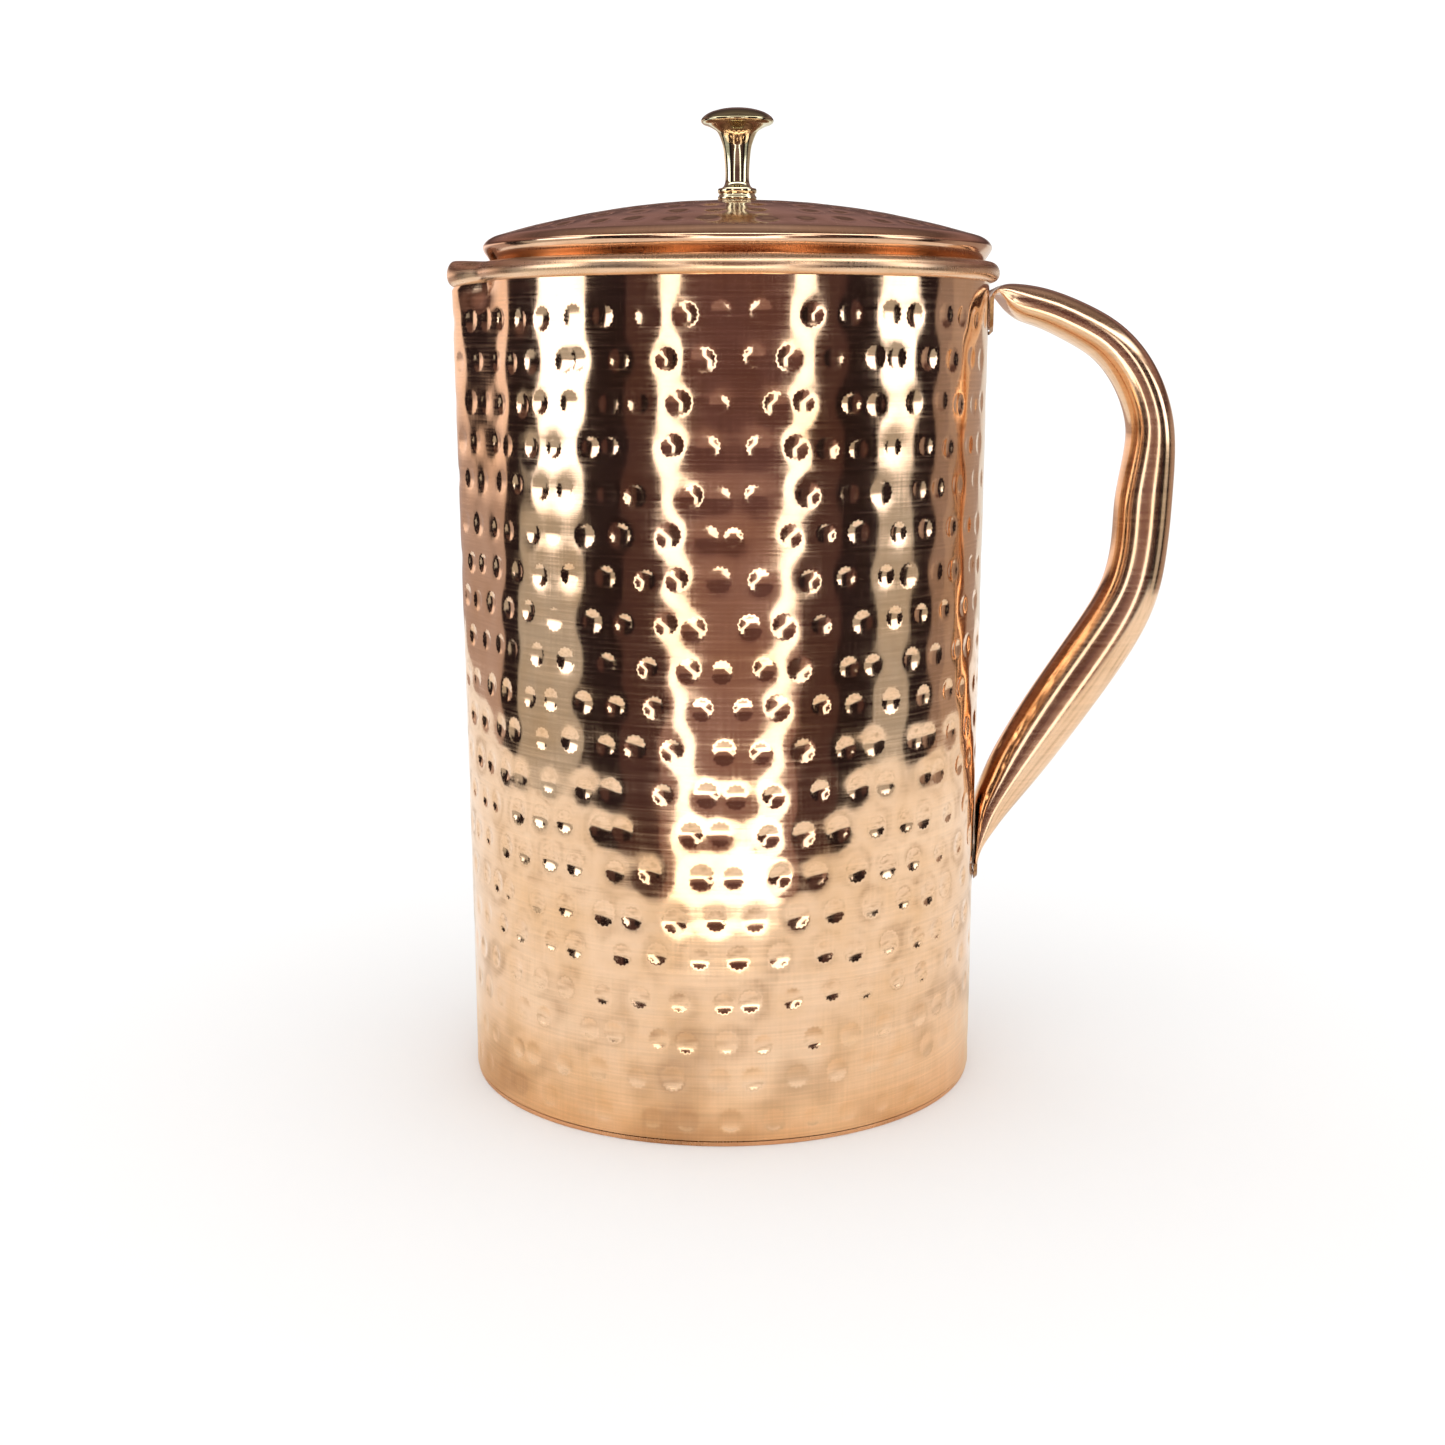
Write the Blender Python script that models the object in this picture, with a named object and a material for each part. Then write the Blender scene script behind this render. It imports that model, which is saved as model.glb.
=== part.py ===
"""Copper water jug with a lift-off lid, as separate pieces that come apart on a bench.

Metres, +Z up. The origin is the middle of the base, on the floor. The pouring lip points
to -X and the handle to +X. The mouth, the lid and the knob share an axis of their own,
which leans a little towards the handle.
"""

import math

import bmesh
import bpy
from mathutils import Vector

# The clearance between two pieces that touch, are crimped or are brazed together.
FIT = 0.0003

# Wall of the jug: straight from a round base to a smaller, offset mouth with a lip.
WALL_HEIGHT = 0.1807
WALL_SHEET = 0.0008
BASE_RADIUS = 0.0590
MOUTH_RADIUS = 0.0565
MOUTH_OFFSET = 0.0033
LIP_REACH = 0.0079
LIP_HALF_ANGLE = math.radians(15.5)
LIP_ROUND = 0.35
WALL_STEPS = 52
LIP_STEPS = 16

# Rim: the top of the wall rolled outwards round a wire.
WIRE_RADIUS = 0.00075
ROLL_STEPS = 9
NECK_HEIGHT = 0.0013
NECK_INSET = 0.00005
LIP_ROLL_REACH = 0.0067
LIP_ROLL_SAG = 0.0009

# Base: a pan whose flange stands inside the wall.
BASE_SHEET = 0.0010
BASE_EDGE_INSET = 0.0002
BASE_EDGE_ROUND = 0.0004
FLANGE_HEIGHT = 0.0080
FLANGE_SHEET = 0.0008
BASE_BRAZE = 0.0012

# Handle: a round tube, flattened at both ends into tongues that lie on the wall.
HANDLE_REACH = 0.0441
HANDLE_DROP = 0.1364
HANDLE_SHEET = 0.0004
HANDLE_SLIT = 0.0001
TUBE_WIDTH = 0.0140
TONGUE_WIDTH = 0.0170
UPPER_TONGUE = 0.0072
UPPER_BEND = 0.0032
LOWER_TONGUE = 0.0035
TONGUE_TIP = 0.0030
TIP_TAPER = 0.8
BEND_DEPTH = 0.0100
GRIP_DEPTH = 0.0135
LOW_DEPTH = 0.0147
BEND_OUT = 0.0007
BEND_DROP = 0.0012
BEND_SLANT = 36
TUBE_SIDES = 14
TUBE_STEPS = 2
TUBE_SQUARENESS = 2.15
TONGUE_SQUARENESS = 5.0
HANDLE_BRAZE = 0.0008

# Lid: a shallow dome whose edge is rolled, with a collar that drops into the mouth.
LID_SHEET = 0.0007
LID_RISE = 0.0142
DOME_RADIUS = 0.1840
LID_EDGE_HEIGHT = 0.0042
LID_FOOT_INSET = 0.00145
LID_FOOT_RISE = 0.0012
CREASE_INSET = 0.0028
CREASE_DEPTH = 0.0005
EDGE_ROUND = 0.0012
LIP_OF_LID = 0.0001
COLLAR_PLAY = 0.0010
COLLAR_SHEET = 0.0008
COLLAR_DROP = 0.0082
COLLAR_FLANGE = 0.0045
COLLAR_BRAZE = 0.0010
COLLAR_GAP = FIT + 0.0001

# Knob: turned brass, held by a screw and a washer from under the lid.
KNOB_HEIGHT = 0.0198
KNOB_RADIUS = 0.0081
KNOB_FOOT_RADIUS = 0.00435
KNOB_FOOT_HEIGHT = 0.0024
KNOB_FOOT_ROUND = 0.0004
STEM_RADIUS = 0.0025
SCREW_RADIUS = 0.0015
SCREW_GRIP = 0.0070
SCREW_HEAD_RADIUS = 0.0028
SCREW_HEAD_HEIGHT = 0.0020
SCREW_HEAD_ROUND = 0.0007
SCREW_POINT = 0.0004
BORE_CONE = 0.0008
SCREW_SLOT_WIDTH = 0.0008
SCREW_SLOT_DEPTH = 0.0009
WASHER_RADIUS = 0.0045
WASHER_SHEET = 0.0008

LID_STEPS = 48
KNOB_STEPS = 32
SCREW_STEPS = 24

COPPER = (0.78, 0.36, 0.22)
COPPER_INSIDE = (0.62, 0.30, 0.19)
BRASS = (0.83, 0.60, 0.24)
BRAZE = (0.66, 0.47, 0.24)
STEEL = (0.55, 0.55, 0.56)

# Worked out from the sizes above.
ROLL_HOLLOW = WIRE_RADIUS + FIT
ROLL_RADIUS = ROLL_HOLLOW + WALL_SHEET
ROLL_OUT = FIT + NECK_INSET
ROLL_CENTRE_Z = WALL_HEIGHT + ROLL_RADIUS + NECK_HEIGHT
RIM_TOP = ROLL_CENTRE_Z + ROLL_RADIUS
ROLL_CENTRE_RADIUS = MOUTH_RADIUS + ROLL_OUT
MOUTH_CLEAR_RADIUS = ROLL_CENTRE_RADIUS - ROLL_RADIUS
WALL_FOOT = BASE_SHEET + FIT
TONGUE_SHEET = 2 * HANDLE_SHEET + HANDLE_SLIT
HANDLE_TOP = RIM_TOP - 2 * ROLL_RADIUS
COLLAR_RADIUS = MOUTH_CLEAR_RADIUS - COLLAR_PLAY
BORE_RADIUS = SCREW_RADIUS + FIT

# The knob's cap: the share of KNOB_RADIUS and the drop from its top. Below the cap, the
# share of the way from the stem out to KNOB_RADIUS, and the drop.
KNOB_CAP = (
    (0.00, 0.0),
    (0.25, 0.0001),
    (0.48, 0.0004),
    (0.75, 0.0011),
    (0.93, 0.0020),
    (1.00, 0.0029),
    (0.97, 0.0034),
)
KNOB_NECK = (
    (0.68, 0.0043),
    (0.35, 0.0056),
    (0.19, 0.0069),
    (0.09, 0.0082),
    (0.00, 0.0105),
)

# The back line of the handle between its tongues, from the top bend down to the foot: the
# share of HANDLE_REACH that it stands off the wall, the share of HANDLE_DROP that it lies
# below the top, the way across the tube to its belly (0 is away from the jug, 90 is down
# and 180 is towards the jug), and the depth of the tube that way.
BACK_LINE = (
    (0.042, 0.009, 68, TONGUE_SHEET + 0.0003),
    (0.078, 0.002, 90, 0.0040),
    (0.135, 0.000, 97, 0.0068),
    (0.235, 0.003, 108, 0.0086),
    (0.341, 0.011, 110, 0.0090),
    (0.490, 0.029, 115, 0.0096),
    (0.673, 0.060, 125, BEND_DEPTH),
    (0.826, 0.107, 141, BEND_DEPTH + 0.0005),
    (0.939, 0.171, 158, BEND_DEPTH + 0.0008),
    (0.998, 0.247, 176, BEND_DEPTH + 0.0012),
    (1.000, 0.350, 180, GRIP_DEPTH),
    (0.986, 0.437, 183, GRIP_DEPTH - 0.0003),
    (0.946, 0.524, 197, GRIP_DEPTH + 0.0003),
    (0.831, 0.610, 209, LOW_DEPTH),
    (0.585, 0.731, 215, LOW_DEPTH),
    (0.345, 0.837, 217, LOW_DEPTH - 0.0018),
    (0.160, 0.907, 220, 0.0086),
    (0.085, 0.935, 215, 0.0044),
    (0.048, 0.952, 196, 0.0018),
)


def clear_scene():
    for obj in list(bpy.data.objects):
        bpy.data.objects.remove(obj)


def metal(name, colour, roughness):
    material = bpy.data.materials.new(name)
    material.use_nodes = True
    shader = material.node_tree.nodes["Principled BSDF"]
    shader.inputs["Base Color"].default_value = (*colour, 1)
    shader.inputs["Roughness"].default_value = roughness
    shader.inputs["Metallic"].default_value = 1.0
    material.diffuse_color = (*colour, 1)
    return material


def empty(name, place):
    marker = bpy.data.objects.new(name, None)
    marker.empty_display_size = 0.01
    marker.location = place
    bpy.context.collection.objects.link(marker)
    return marker


def finish(name, shape, material, parent):
    """Turns a bmesh into a named object with smooth, outward faces under its parent."""
    bmesh.ops.remove_doubles(shape, verts=shape.verts, dist=1e-7)
    bmesh.ops.recalc_face_normals(shape, faces=shape.faces)
    mesh = bpy.data.meshes.new(name)
    shape.to_mesh(mesh)
    shape.free()
    mesh.shade_smooth()
    mesh.set_sharp_from_angle(angle=math.radians(40))
    mesh.materials.append(material)
    obj = bpy.data.objects.new(name, mesh)
    bpy.context.collection.objects.link(obj)
    obj.parent = parent
    return obj


def skin(loops, closed):
    """Joins each closed loop of points to the next, round to the first one if closed."""
    shape = bmesh.new()
    rows = [[shape.verts.new(point) for point in loop] for loop in loops]
    pairs = list(zip(rows, rows[1:]))
    if closed:
        pairs.append((rows[-1], rows[0]))
    for row, after in pairs:
        for i in range(len(row)):
            j = (i + 1) % len(row)
            shape.faces.new((row[i], row[j], after[j], after[i]))
    if not closed:
        shape.faces.new(rows[0])
        shape.faces.new(rows[-1])
    return shape


def turned(outline, steps):
    """Spins an outline of (radius, height) points, closed on itself, round the Z axis."""
    shape = bmesh.new()
    points = [shape.verts.new((radius, 0, height)) for radius, height in outline]
    pairs = zip(points, points[1:] + points[:1])
    edges = [shape.edges.new(pair) for pair in pairs if not on_axis(pair)]
    bmesh.ops.spin(
        shape,
        geom=edges,
        cent=(0, 0, 0),
        axis=(0, 0, 1),
        angle=math.tau,
        steps=steps,
        use_merge=True,
    )
    return shape


def on_axis(pair):
    return all(abs(vertex.co.x) < 1e-9 for vertex in pair)


def arc(centre, radius, first, last, steps):
    """Points (out, up) on a circle between two angles given in degrees."""
    points = []
    for i in range(steps + 1):
        angle = math.radians(first + (last - first) * i / steps)
        out = centre[0] + radius * math.cos(angle)
        points.append((out, centre[1] + radius * math.sin(angle)))
    return points


def wall_angles():
    """Angles round the jug, closer together across the lip."""
    lip = [
        math.pi + LIP_HALF_ANGLE * (2 * i / LIP_STEPS - 1) for i in range(LIP_STEPS + 1)
    ]
    rest = math.tau - 2 * LIP_HALF_ANGLE
    start = math.pi + LIP_HALF_ANGLE
    return lip + [start + rest * i / WALL_STEPS for i in range(1, WALL_STEPS)]


def lip_share(angle):
    """1 at the tip of the lip, falling along two straight flanks to 0 where it ends."""
    turn = abs(math.remainder(angle - math.pi, math.tau)) / LIP_HALF_ANGLE
    if turn > 1:
        return 0.0
    fall = math.hypot(turn, LIP_ROUND) - LIP_ROUND
    return 1 - fall / (math.hypot(1, LIP_ROUND) - LIP_ROUND)


def mouth_outline(angle, reach):
    """The outside of the wall at the rim, seen from above, with a lip of this reach."""
    radius = MOUTH_RADIUS + reach * lip_share(angle)
    return Vector((MOUTH_OFFSET + radius * math.cos(angle), radius * math.sin(angle), 0))


def mouth_normal(angle):
    step = 0.01
    along = mouth_outline(angle + step, LIP_REACH) - mouth_outline(angle - step, LIP_REACH)
    return Vector((along.y, -along.x, 0)).normalized()


def wall_point(angle, height, depth):
    """A point of the wall at this height, this deep under its outer face."""
    round_base = Vector((math.cos(angle), math.sin(angle), 0))
    share = height / WALL_HEIGHT
    place = (BASE_RADIUS * round_base).lerp(mouth_outline(angle, LIP_REACH), share)
    normal = round_base.lerp(mouth_normal(angle), share).normalized()
    place -= depth * normal
    place.z = height
    return place


def rim_point(angle, out, up):
    """A point of the rim, this far outside the wall's outer face, at this height."""
    place = mouth_outline(angle, LIP_ROLL_REACH) + out * mouth_normal(angle)
    below_top = (RIM_TOP - up) / (2 * ROLL_RADIUS)
    place.z = up - LIP_ROLL_SAG * lip_share(angle) * below_top
    return place


def make_body_shell(parent):
    centre = (ROLL_OUT, ROLL_CENTRE_Z)
    hollow = arc(centre, ROLL_HOLLOW, 200, -90, ROLL_STEPS)
    outside = arc(centre, ROLL_RADIUS, -90, 205, ROLL_STEPS)
    neck_height = WALL_HEIGHT + NECK_HEIGHT
    neck = (-WALL_SHEET, neck_height)
    loops = []
    for angle in wall_angles():
        loop = [wall_point(angle, WALL_FOOT, 0), wall_point(angle, WALL_HEIGHT, 0)]
        loop.append(rim_point(angle, -NECK_INSET, neck_height + FIT))
        loop += [rim_point(angle, *point) for point in hollow + outside]
        loop.append(rim_point(angle, *neck))
        loop.append(wall_point(angle, WALL_HEIGHT, WALL_SHEET))
        loop.append(wall_point(angle, WALL_FOOT, WALL_SHEET))
        loops.append(loop)
    copper = metal("polished_copper_wall", COPPER, 0.12)
    finish("body_shell", skin(loops, True), copper, parent)


def make_rim_wire(parent):
    section = arc((ROLL_OUT, ROLL_CENTRE_Z), WIRE_RADIUS, 0, 300, 5)
    loops = [[rim_point(angle, *point) for point in section] for angle in wall_angles()]
    steel = metal("galvanised_wire", STEEL, 0.4)
    finish("rim_wire", skin(loops, True), steel, parent)


def make_base_plate(parent):
    outer = WALL_SHEET + FIT
    inner = outer + FLANGE_SHEET
    edge = (BASE_EDGE_INSET + BASE_EDGE_ROUND, BASE_EDGE_ROUND)
    loops = []
    for angle in wall_angles():
        loop = [Vector((0, 0, 0)), wall_point(angle, 0, edge[0])]
        loop.append(wall_point(angle, edge[1], BASE_EDGE_INSET))
        loop.append(wall_point(angle, BASE_SHEET, BASE_EDGE_INSET))
        loop.append(wall_point(angle, BASE_SHEET, outer))
        loop.append(wall_point(angle, FLANGE_HEIGHT, outer))
        loop.append(wall_point(angle, FLANGE_HEIGHT, inner))
        loop.append(wall_point(angle, BASE_SHEET + BASE_EDGE_ROUND, inner))
        loop.append(wall_point(angle, BASE_SHEET, inner + BASE_EDGE_ROUND))
        loop.append(Vector((0, 0, BASE_SHEET)))
        loops.append(loop)
    copper = metal("copper_base", COPPER_INSIDE, 0.3)
    finish("base_plate", skin(loops, True), copper, parent)


def make_base_braze(parent):
    """The fillet of brazing metal on the flange's top edge, all round the inside."""
    near = WALL_SHEET + FIT
    low = FLANGE_HEIGHT + FIT
    loops = []
    for angle in wall_angles():
        loop = [wall_point(angle, low, near)]
        loop.append(wall_point(angle, low, near + FLANGE_SHEET))
        loop.append(wall_point(angle, low + BASE_BRAZE, near))
        loops.append(loop)
    braze = metal("brazing_metal", BRAZE, 0.4)
    finish("base_braze", skin(loops, True), braze, parent)


def wall_x(height):
    """The wall's outer face under the handle."""
    return wall_point(0, height, 0).x


def wall_radius(height):
    return BASE_RADIUS + (MOUTH_RADIUS - BASE_RADIUS) * height / WALL_HEIGHT


def wall_falls_back(across, height):
    """How far the round wall has turned away this far to the side of the handle."""
    radius = wall_radius(height)
    return radius - math.sqrt(radius**2 - across**2)


def back_stations():
    """(place, slant, depth) down the handle's back, from one tongue's tip to the other's."""
    top = UPPER_BEND
    stations = [
        (FIT, top + UPPER_TONGUE, 0, TONGUE_SHEET),
        (FIT, top + 0.5 * UPPER_TONGUE, 0, TONGUE_SHEET),
        (FIT, top, 0, TONGUE_SHEET),
        (FIT + BEND_OUT, top - BEND_DROP, BEND_SLANT, TONGUE_SHEET),
    ]
    for reach, drop, slant, depth in BACK_LINE:
        stations.append((reach * HANDLE_REACH, drop * HANDLE_DROP, slant, depth))
    foot = FIT + TONGUE_SHEET
    stations.append((foot, HANDLE_DROP - LOWER_TONGUE, 180, TONGUE_SHEET))
    stations.append((foot, HANDLE_DROP, 180, TONGUE_SHEET))
    placed = []
    for out, drop, slant, depth in stations:
        height = HANDLE_TOP - drop
        place = Vector((wall_x(height) + out, 0, height))
        placed.append((place, math.radians(slant), depth))
    return placed


def smooth_through(values, distances, steps):
    """Points on a smooth curve through the values, evenly between each pair."""
    slopes = []
    for i, value in enumerate(values):
        before = max(i - 1, 0)
        after = min(i + 1, len(values) - 1)
        run = distances[after] - distances[before]
        slopes.append((values[after] - values[before]) / run)
    points = []
    for i in range(len(values) - 1):
        run = distances[i + 1] - distances[i]
        for step in range(steps):
            t = step / steps
            start = (2 * t**3 - 3 * t**2 + 1) * values[i]
            start += (t**3 - 2 * t**2 + t) * run * slopes[i]
            end = (3 * t**2 - 2 * t**3) * values[i + 1]
            end += (t**3 - t**2) * run * slopes[i + 1]
            points.append(start + end)
    points.append(values[-1])
    return points


def handle_sections():
    """(back point, inward direction, depth, distance to the nearer tip) down the handle."""
    places, slants, depths = zip(*back_stations())
    distances = [0.0]
    for place, after in zip(places, places[1:]):
        distances.append(distances[-1] + (after - place).length)
    sections = []
    for back, slant, depth, length in zip(
        smooth_through(places, distances, TUBE_STEPS),
        smooth_through(slants, distances, TUBE_STEPS),
        smooth_through(depths, distances, TUBE_STEPS),
        smooth_through(distances, distances, TUBE_STEPS),
    ):
        inward = Vector((math.cos(slant), 0, -math.sin(slant)))
        depth = max(TONGUE_SHEET, min(depth, room_to_wall(back, inward)))
        sections.append((back, inward, depth, min(length, distances[-1] - length)))
    return sections


def room_to_wall(back, inward):
    """How deep the tube can be before its belly meets the wall."""
    if inward.x > -0.2:
        return HANDLE_REACH
    return (wall_x(back.z) + FIT - back.x) / inward.x


def flatness(depth):
    """1 where the tube is pressed flat, 0 where it is round."""
    return max(0.0, min(1.0, (BEND_DEPTH - depth) / (BEND_DEPTH - TONGUE_SHEET)))


def tip_share(from_tip):
    """How much of its full width the tongue has this far from its rounded tip."""
    into_tip = max(0.0, 1 - from_tip / TONGUE_TIP)
    return math.sqrt(1 - (TIP_TAPER * into_tip) ** 2)


def tongue_half_width(from_tip):
    return 0.5 * TONGUE_WIDTH * tip_share(from_tip)


def tube_ring(section, inset):
    """One ring of the tube, this far inside its outer face."""
    back, inward, depth, from_tip = section
    flat = flatness(depth)
    rounder = (depth - TONGUE_SHEET) / (LOW_DEPTH - TONGUE_SHEET)
    width = TONGUE_WIDTH + rounder * (TUBE_WIDTH - TONGUE_WIDTH)
    half_width = 0.5 * width * tip_share(from_tip) - inset
    half_depth = 0.5 * depth - inset
    power = 2 / (TUBE_SQUARENESS + flat * (TONGUE_SQUARENESS - TUBE_SQUARENESS))
    middle = back + 0.5 * depth * inward
    ring = []
    for i in range(TUBE_SIDES):
        angle = math.tau * (i + 0.5) / TUBE_SIDES
        across = half_width * math.copysign(abs(math.cos(angle)) ** power, math.cos(angle))
        inwards = half_depth * math.copysign(abs(math.sin(angle)) ** power, math.sin(angle))
        point = middle + inwards * inward + Vector((0, across, 0))
        point.x -= flat * wall_falls_back(across, back.z)
        ring.append(point)
    return ring


def make_handle_tube(parent):
    sections = handle_sections()
    outer = [tube_ring(section, 0) for section in sections]
    inner = [tube_ring(section, HANDLE_SHEET) for section in sections]
    loops = []
    for side in range(TUBE_SIDES):
        loop = [ring[side] for ring in outer]
        loop += [ring[side] for ring in reversed(inner)]
        loops.append(loop)
    copper = metal("polished_copper_handle", COPPER, 0.1)
    finish("handle_tube", skin(loops, True), copper, parent)


def make_handle_braze(name, tip_height, length, parent):
    """A fillet on the wall round the two sides and the tip of a tongue."""
    steps = 6
    side = []
    for i in range(steps + 1):
        from_tip = length * (1 - i / steps)
        side.append(Vector((tongue_half_width(from_tip), tip_height + from_tip)))
    corner = side[-1].x
    tip = [Vector((corner * (1 - 2 * i / steps), tip_height)) for i in range(1, steps)]
    path = side + tip + [Vector((-point.x, point.y)) for point in reversed(side)]
    loops = []
    for i, point in enumerate(path):
        along = path[min(i + 1, len(path) - 1)] - path[max(i - 1, 0)]
        away = Vector((-along.y, along.x)).normalized()
        loop = []
        for out, up in ((FIT, FIT), (FIT + HANDLE_BRAZE, FIT), (FIT, FIT + HANDLE_BRAZE)):
            place = point + out * away
            loop.append(wall_point(place.x / wall_radius(place.y), place.y, -up))
        loops.append(loop)
    braze = metal(name + "_metal", BRAZE, 0.4)
    finish(name, skin(loops, False), braze, parent)


def dome_height(radius):
    """The lid's outer face above the rim's top."""
    return LID_RISE - DOME_RADIUS + math.sqrt(DOME_RADIUS**2 - radius**2)


def seat_height(radius):
    """The lowest that the lid may reach over the rolled rim."""
    over = radius - ROLL_CENTRE_RADIUS
    return math.sqrt((ROLL_RADIUS + FIT) ** 2 - over**2) - ROLL_RADIUS


def lid_edge():
    """The outer face of the lid's rolled edge, from the dome down and in to its end."""
    widest = ROLL_CENTRE_RADIUS
    foot = widest - LID_FOOT_INSET
    low = seat_height(foot)
    crease = widest - CREASE_INSET
    top = dome_height(crease)
    return [
        (crease, top),
        (crease + 0.5 * EDGE_ROUND, top - CREASE_DEPTH),
        (widest - EDGE_ROUND, LID_EDGE_HEIGHT + 1.15 * EDGE_ROUND),
        (widest - 0.25 * EDGE_ROUND, LID_EDGE_HEIGHT + 0.65 * EDGE_ROUND),
        (widest, LID_EDGE_HEIGHT),
        (widest - 0.25 * EDGE_ROUND, LID_EDGE_HEIGHT - 1.1 * EDGE_ROUND),
        (foot + LID_FOOT_RISE / 3, low + LID_FOOT_RISE),
        (foot, low),
        (foot - LID_FOOT_RISE / 3, low - LIP_OF_LID),
        (COLLAR_RADIUS + FIT + LIP_OF_LID, low - LIP_OF_LID),
    ]


def inside_of(outline, sheet):
    """The outline moved to the other side of the sheet, to its right as it runs."""
    moved = []
    for i, (radius, height) in enumerate(outline):
        before = Vector(outline[max(i - 1, 0)])
        after = Vector(outline[min(i + 1, len(outline) - 1)])
        along = (after - before).normalized()
        moved.append((radius + sheet * along.y, height - sheet * along.x))
    return moved


def make_lid_dome(parent):
    edge = lid_edge()
    rings = 5
    dome = []
    for i in range(rings):
        radius = BORE_RADIUS + (edge[0][0] - BORE_RADIUS) * i / rings
        dome.append((radius, dome_height(radius)))
    outside = dome + edge
    outline = outside + inside_of(outside, LID_SHEET)[::-1]
    copper = metal("polished_copper_lid", COPPER, 0.12)
    finish("lid_dome", turned(outline, LID_STEPS), copper, parent)


def under_dome(radius, gap):
    """A height this far below the dome's inner face."""
    return dome_height(radius) - LID_SHEET - gap


def make_lid_collar(parent):
    inner = COLLAR_RADIUS - COLLAR_SHEET
    flange = COLLAR_RADIUS - COLLAR_FLANGE
    outline = [
        (COLLAR_RADIUS, under_dome(COLLAR_RADIUS, COLLAR_GAP)),
        (COLLAR_RADIUS, -COLLAR_DROP),
        (inner, -COLLAR_DROP),
        (inner, under_dome(inner, COLLAR_GAP + COLLAR_SHEET)),
        (flange, under_dome(flange, COLLAR_GAP + COLLAR_SHEET)),
        (flange, under_dome(flange, COLLAR_GAP)),
    ]
    copper = metal("copper_collar", COPPER_INSIDE, 0.25)
    finish("lid_collar", turned(outline, LID_STEPS), copper, parent)


def make_collar_braze(parent):
    outer = COLLAR_RADIUS - COLLAR_FLANGE - FIT
    outline = [
        (outer, under_dome(outer, FIT)),
        (outer, under_dome(outer, FIT + COLLAR_SHEET)),
        (outer - COLLAR_BRAZE, under_dome(outer - COLLAR_BRAZE, FIT)),
    ]
    braze = metal("collar_brazing_metal", BRAZE, 0.4)
    finish("lid_collar_braze", turned(outline, LID_STEPS), braze, parent)


def make_knob(parent):
    """A mushroom head on a slim stem and a foot, bored from below for the screw."""
    base = LID_RISE + FIT
    top = base + KNOB_HEIGHT
    foot_top = base + KNOB_FOOT_HEIGHT
    flare = KNOB_RADIUS - STEM_RADIUS
    outline = [(share * KNOB_RADIUS, top - drop) for share, drop in KNOB_CAP]
    for share, drop in KNOB_NECK:
        outline.append((STEM_RADIUS + share * flare, top - drop))
    outline += [
        (STEM_RADIUS, foot_top + 3 * KNOB_FOOT_ROUND),
        (STEM_RADIUS + KNOB_FOOT_ROUND, foot_top + KNOB_FOOT_ROUND),
        (KNOB_FOOT_RADIUS - KNOB_FOOT_ROUND, foot_top),
        (KNOB_FOOT_RADIUS, foot_top - KNOB_FOOT_ROUND),
        (KNOB_FOOT_RADIUS, base),
        (BORE_RADIUS, base),
        (BORE_RADIUS, base + SCREW_GRIP + FIT),
        (0, base + SCREW_GRIP + FIT + BORE_CONE),
    ]
    brass = metal("turned_brass", BRASS, 0.12)
    finish("knob", turned(outline, KNOB_STEPS), brass, parent)


def washer_top():
    return under_dome(WASHER_RADIUS, FIT)


def make_knob_washer(parent):
    top = washer_top()
    outline = [
        (BORE_RADIUS, top),
        (WASHER_RADIUS, top),
        (WASHER_RADIUS, top - WASHER_SHEET),
        (BORE_RADIUS, top - WASHER_SHEET),
    ]
    steel = metal("washer_steel", STEEL, 0.3)
    finish("knob_washer", turned(outline, SCREW_STEPS), steel, parent)


def make_slot_cutter(place, parent):
    """A bar across the screw's head, which cuts its slot."""
    shape = bmesh.new()
    bmesh.ops.create_cube(shape, size=1)
    size = (3 * SCREW_HEAD_RADIUS, SCREW_SLOT_WIDTH, 2 * SCREW_SLOT_DEPTH)
    bmesh.ops.scale(shape, vec=size, verts=shape.verts)
    bmesh.ops.translate(shape, vec=(0, 0, place), verts=shape.verts)
    steel = metal("cutter", STEEL, 0.5)
    cutter = finish("screw_slot_cutter", shape, steel, parent)
    cutter.hide_render = True
    cutter.display_type = "WIRE"
    return cutter


def make_knob_screw(parent):
    seat = washer_top() - WASHER_SHEET - FIT
    low = seat - SCREW_HEAD_HEIGHT
    outline = [
        (0, LID_RISE + FIT + SCREW_GRIP),
        (SCREW_RADIUS - SCREW_POINT, LID_RISE + FIT + SCREW_GRIP),
        (SCREW_RADIUS, LID_RISE + FIT + SCREW_GRIP - SCREW_POINT),
        (SCREW_RADIUS, seat),
        (SCREW_HEAD_RADIUS, seat),
        (SCREW_HEAD_RADIUS, low + SCREW_HEAD_ROUND),
        (SCREW_HEAD_RADIUS - SCREW_HEAD_ROUND, low + FIT / 3),
        (0, low),
    ]
    steel = metal("screw_steel", STEEL, 0.3)
    screw = finish("knob_screw", turned(outline, SCREW_STEPS), steel, parent)
    slot = screw.modifiers.new("slot", "BOOLEAN")
    slot.operation = "DIFFERENCE"
    slot.object = make_slot_cutter(low, parent)


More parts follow.
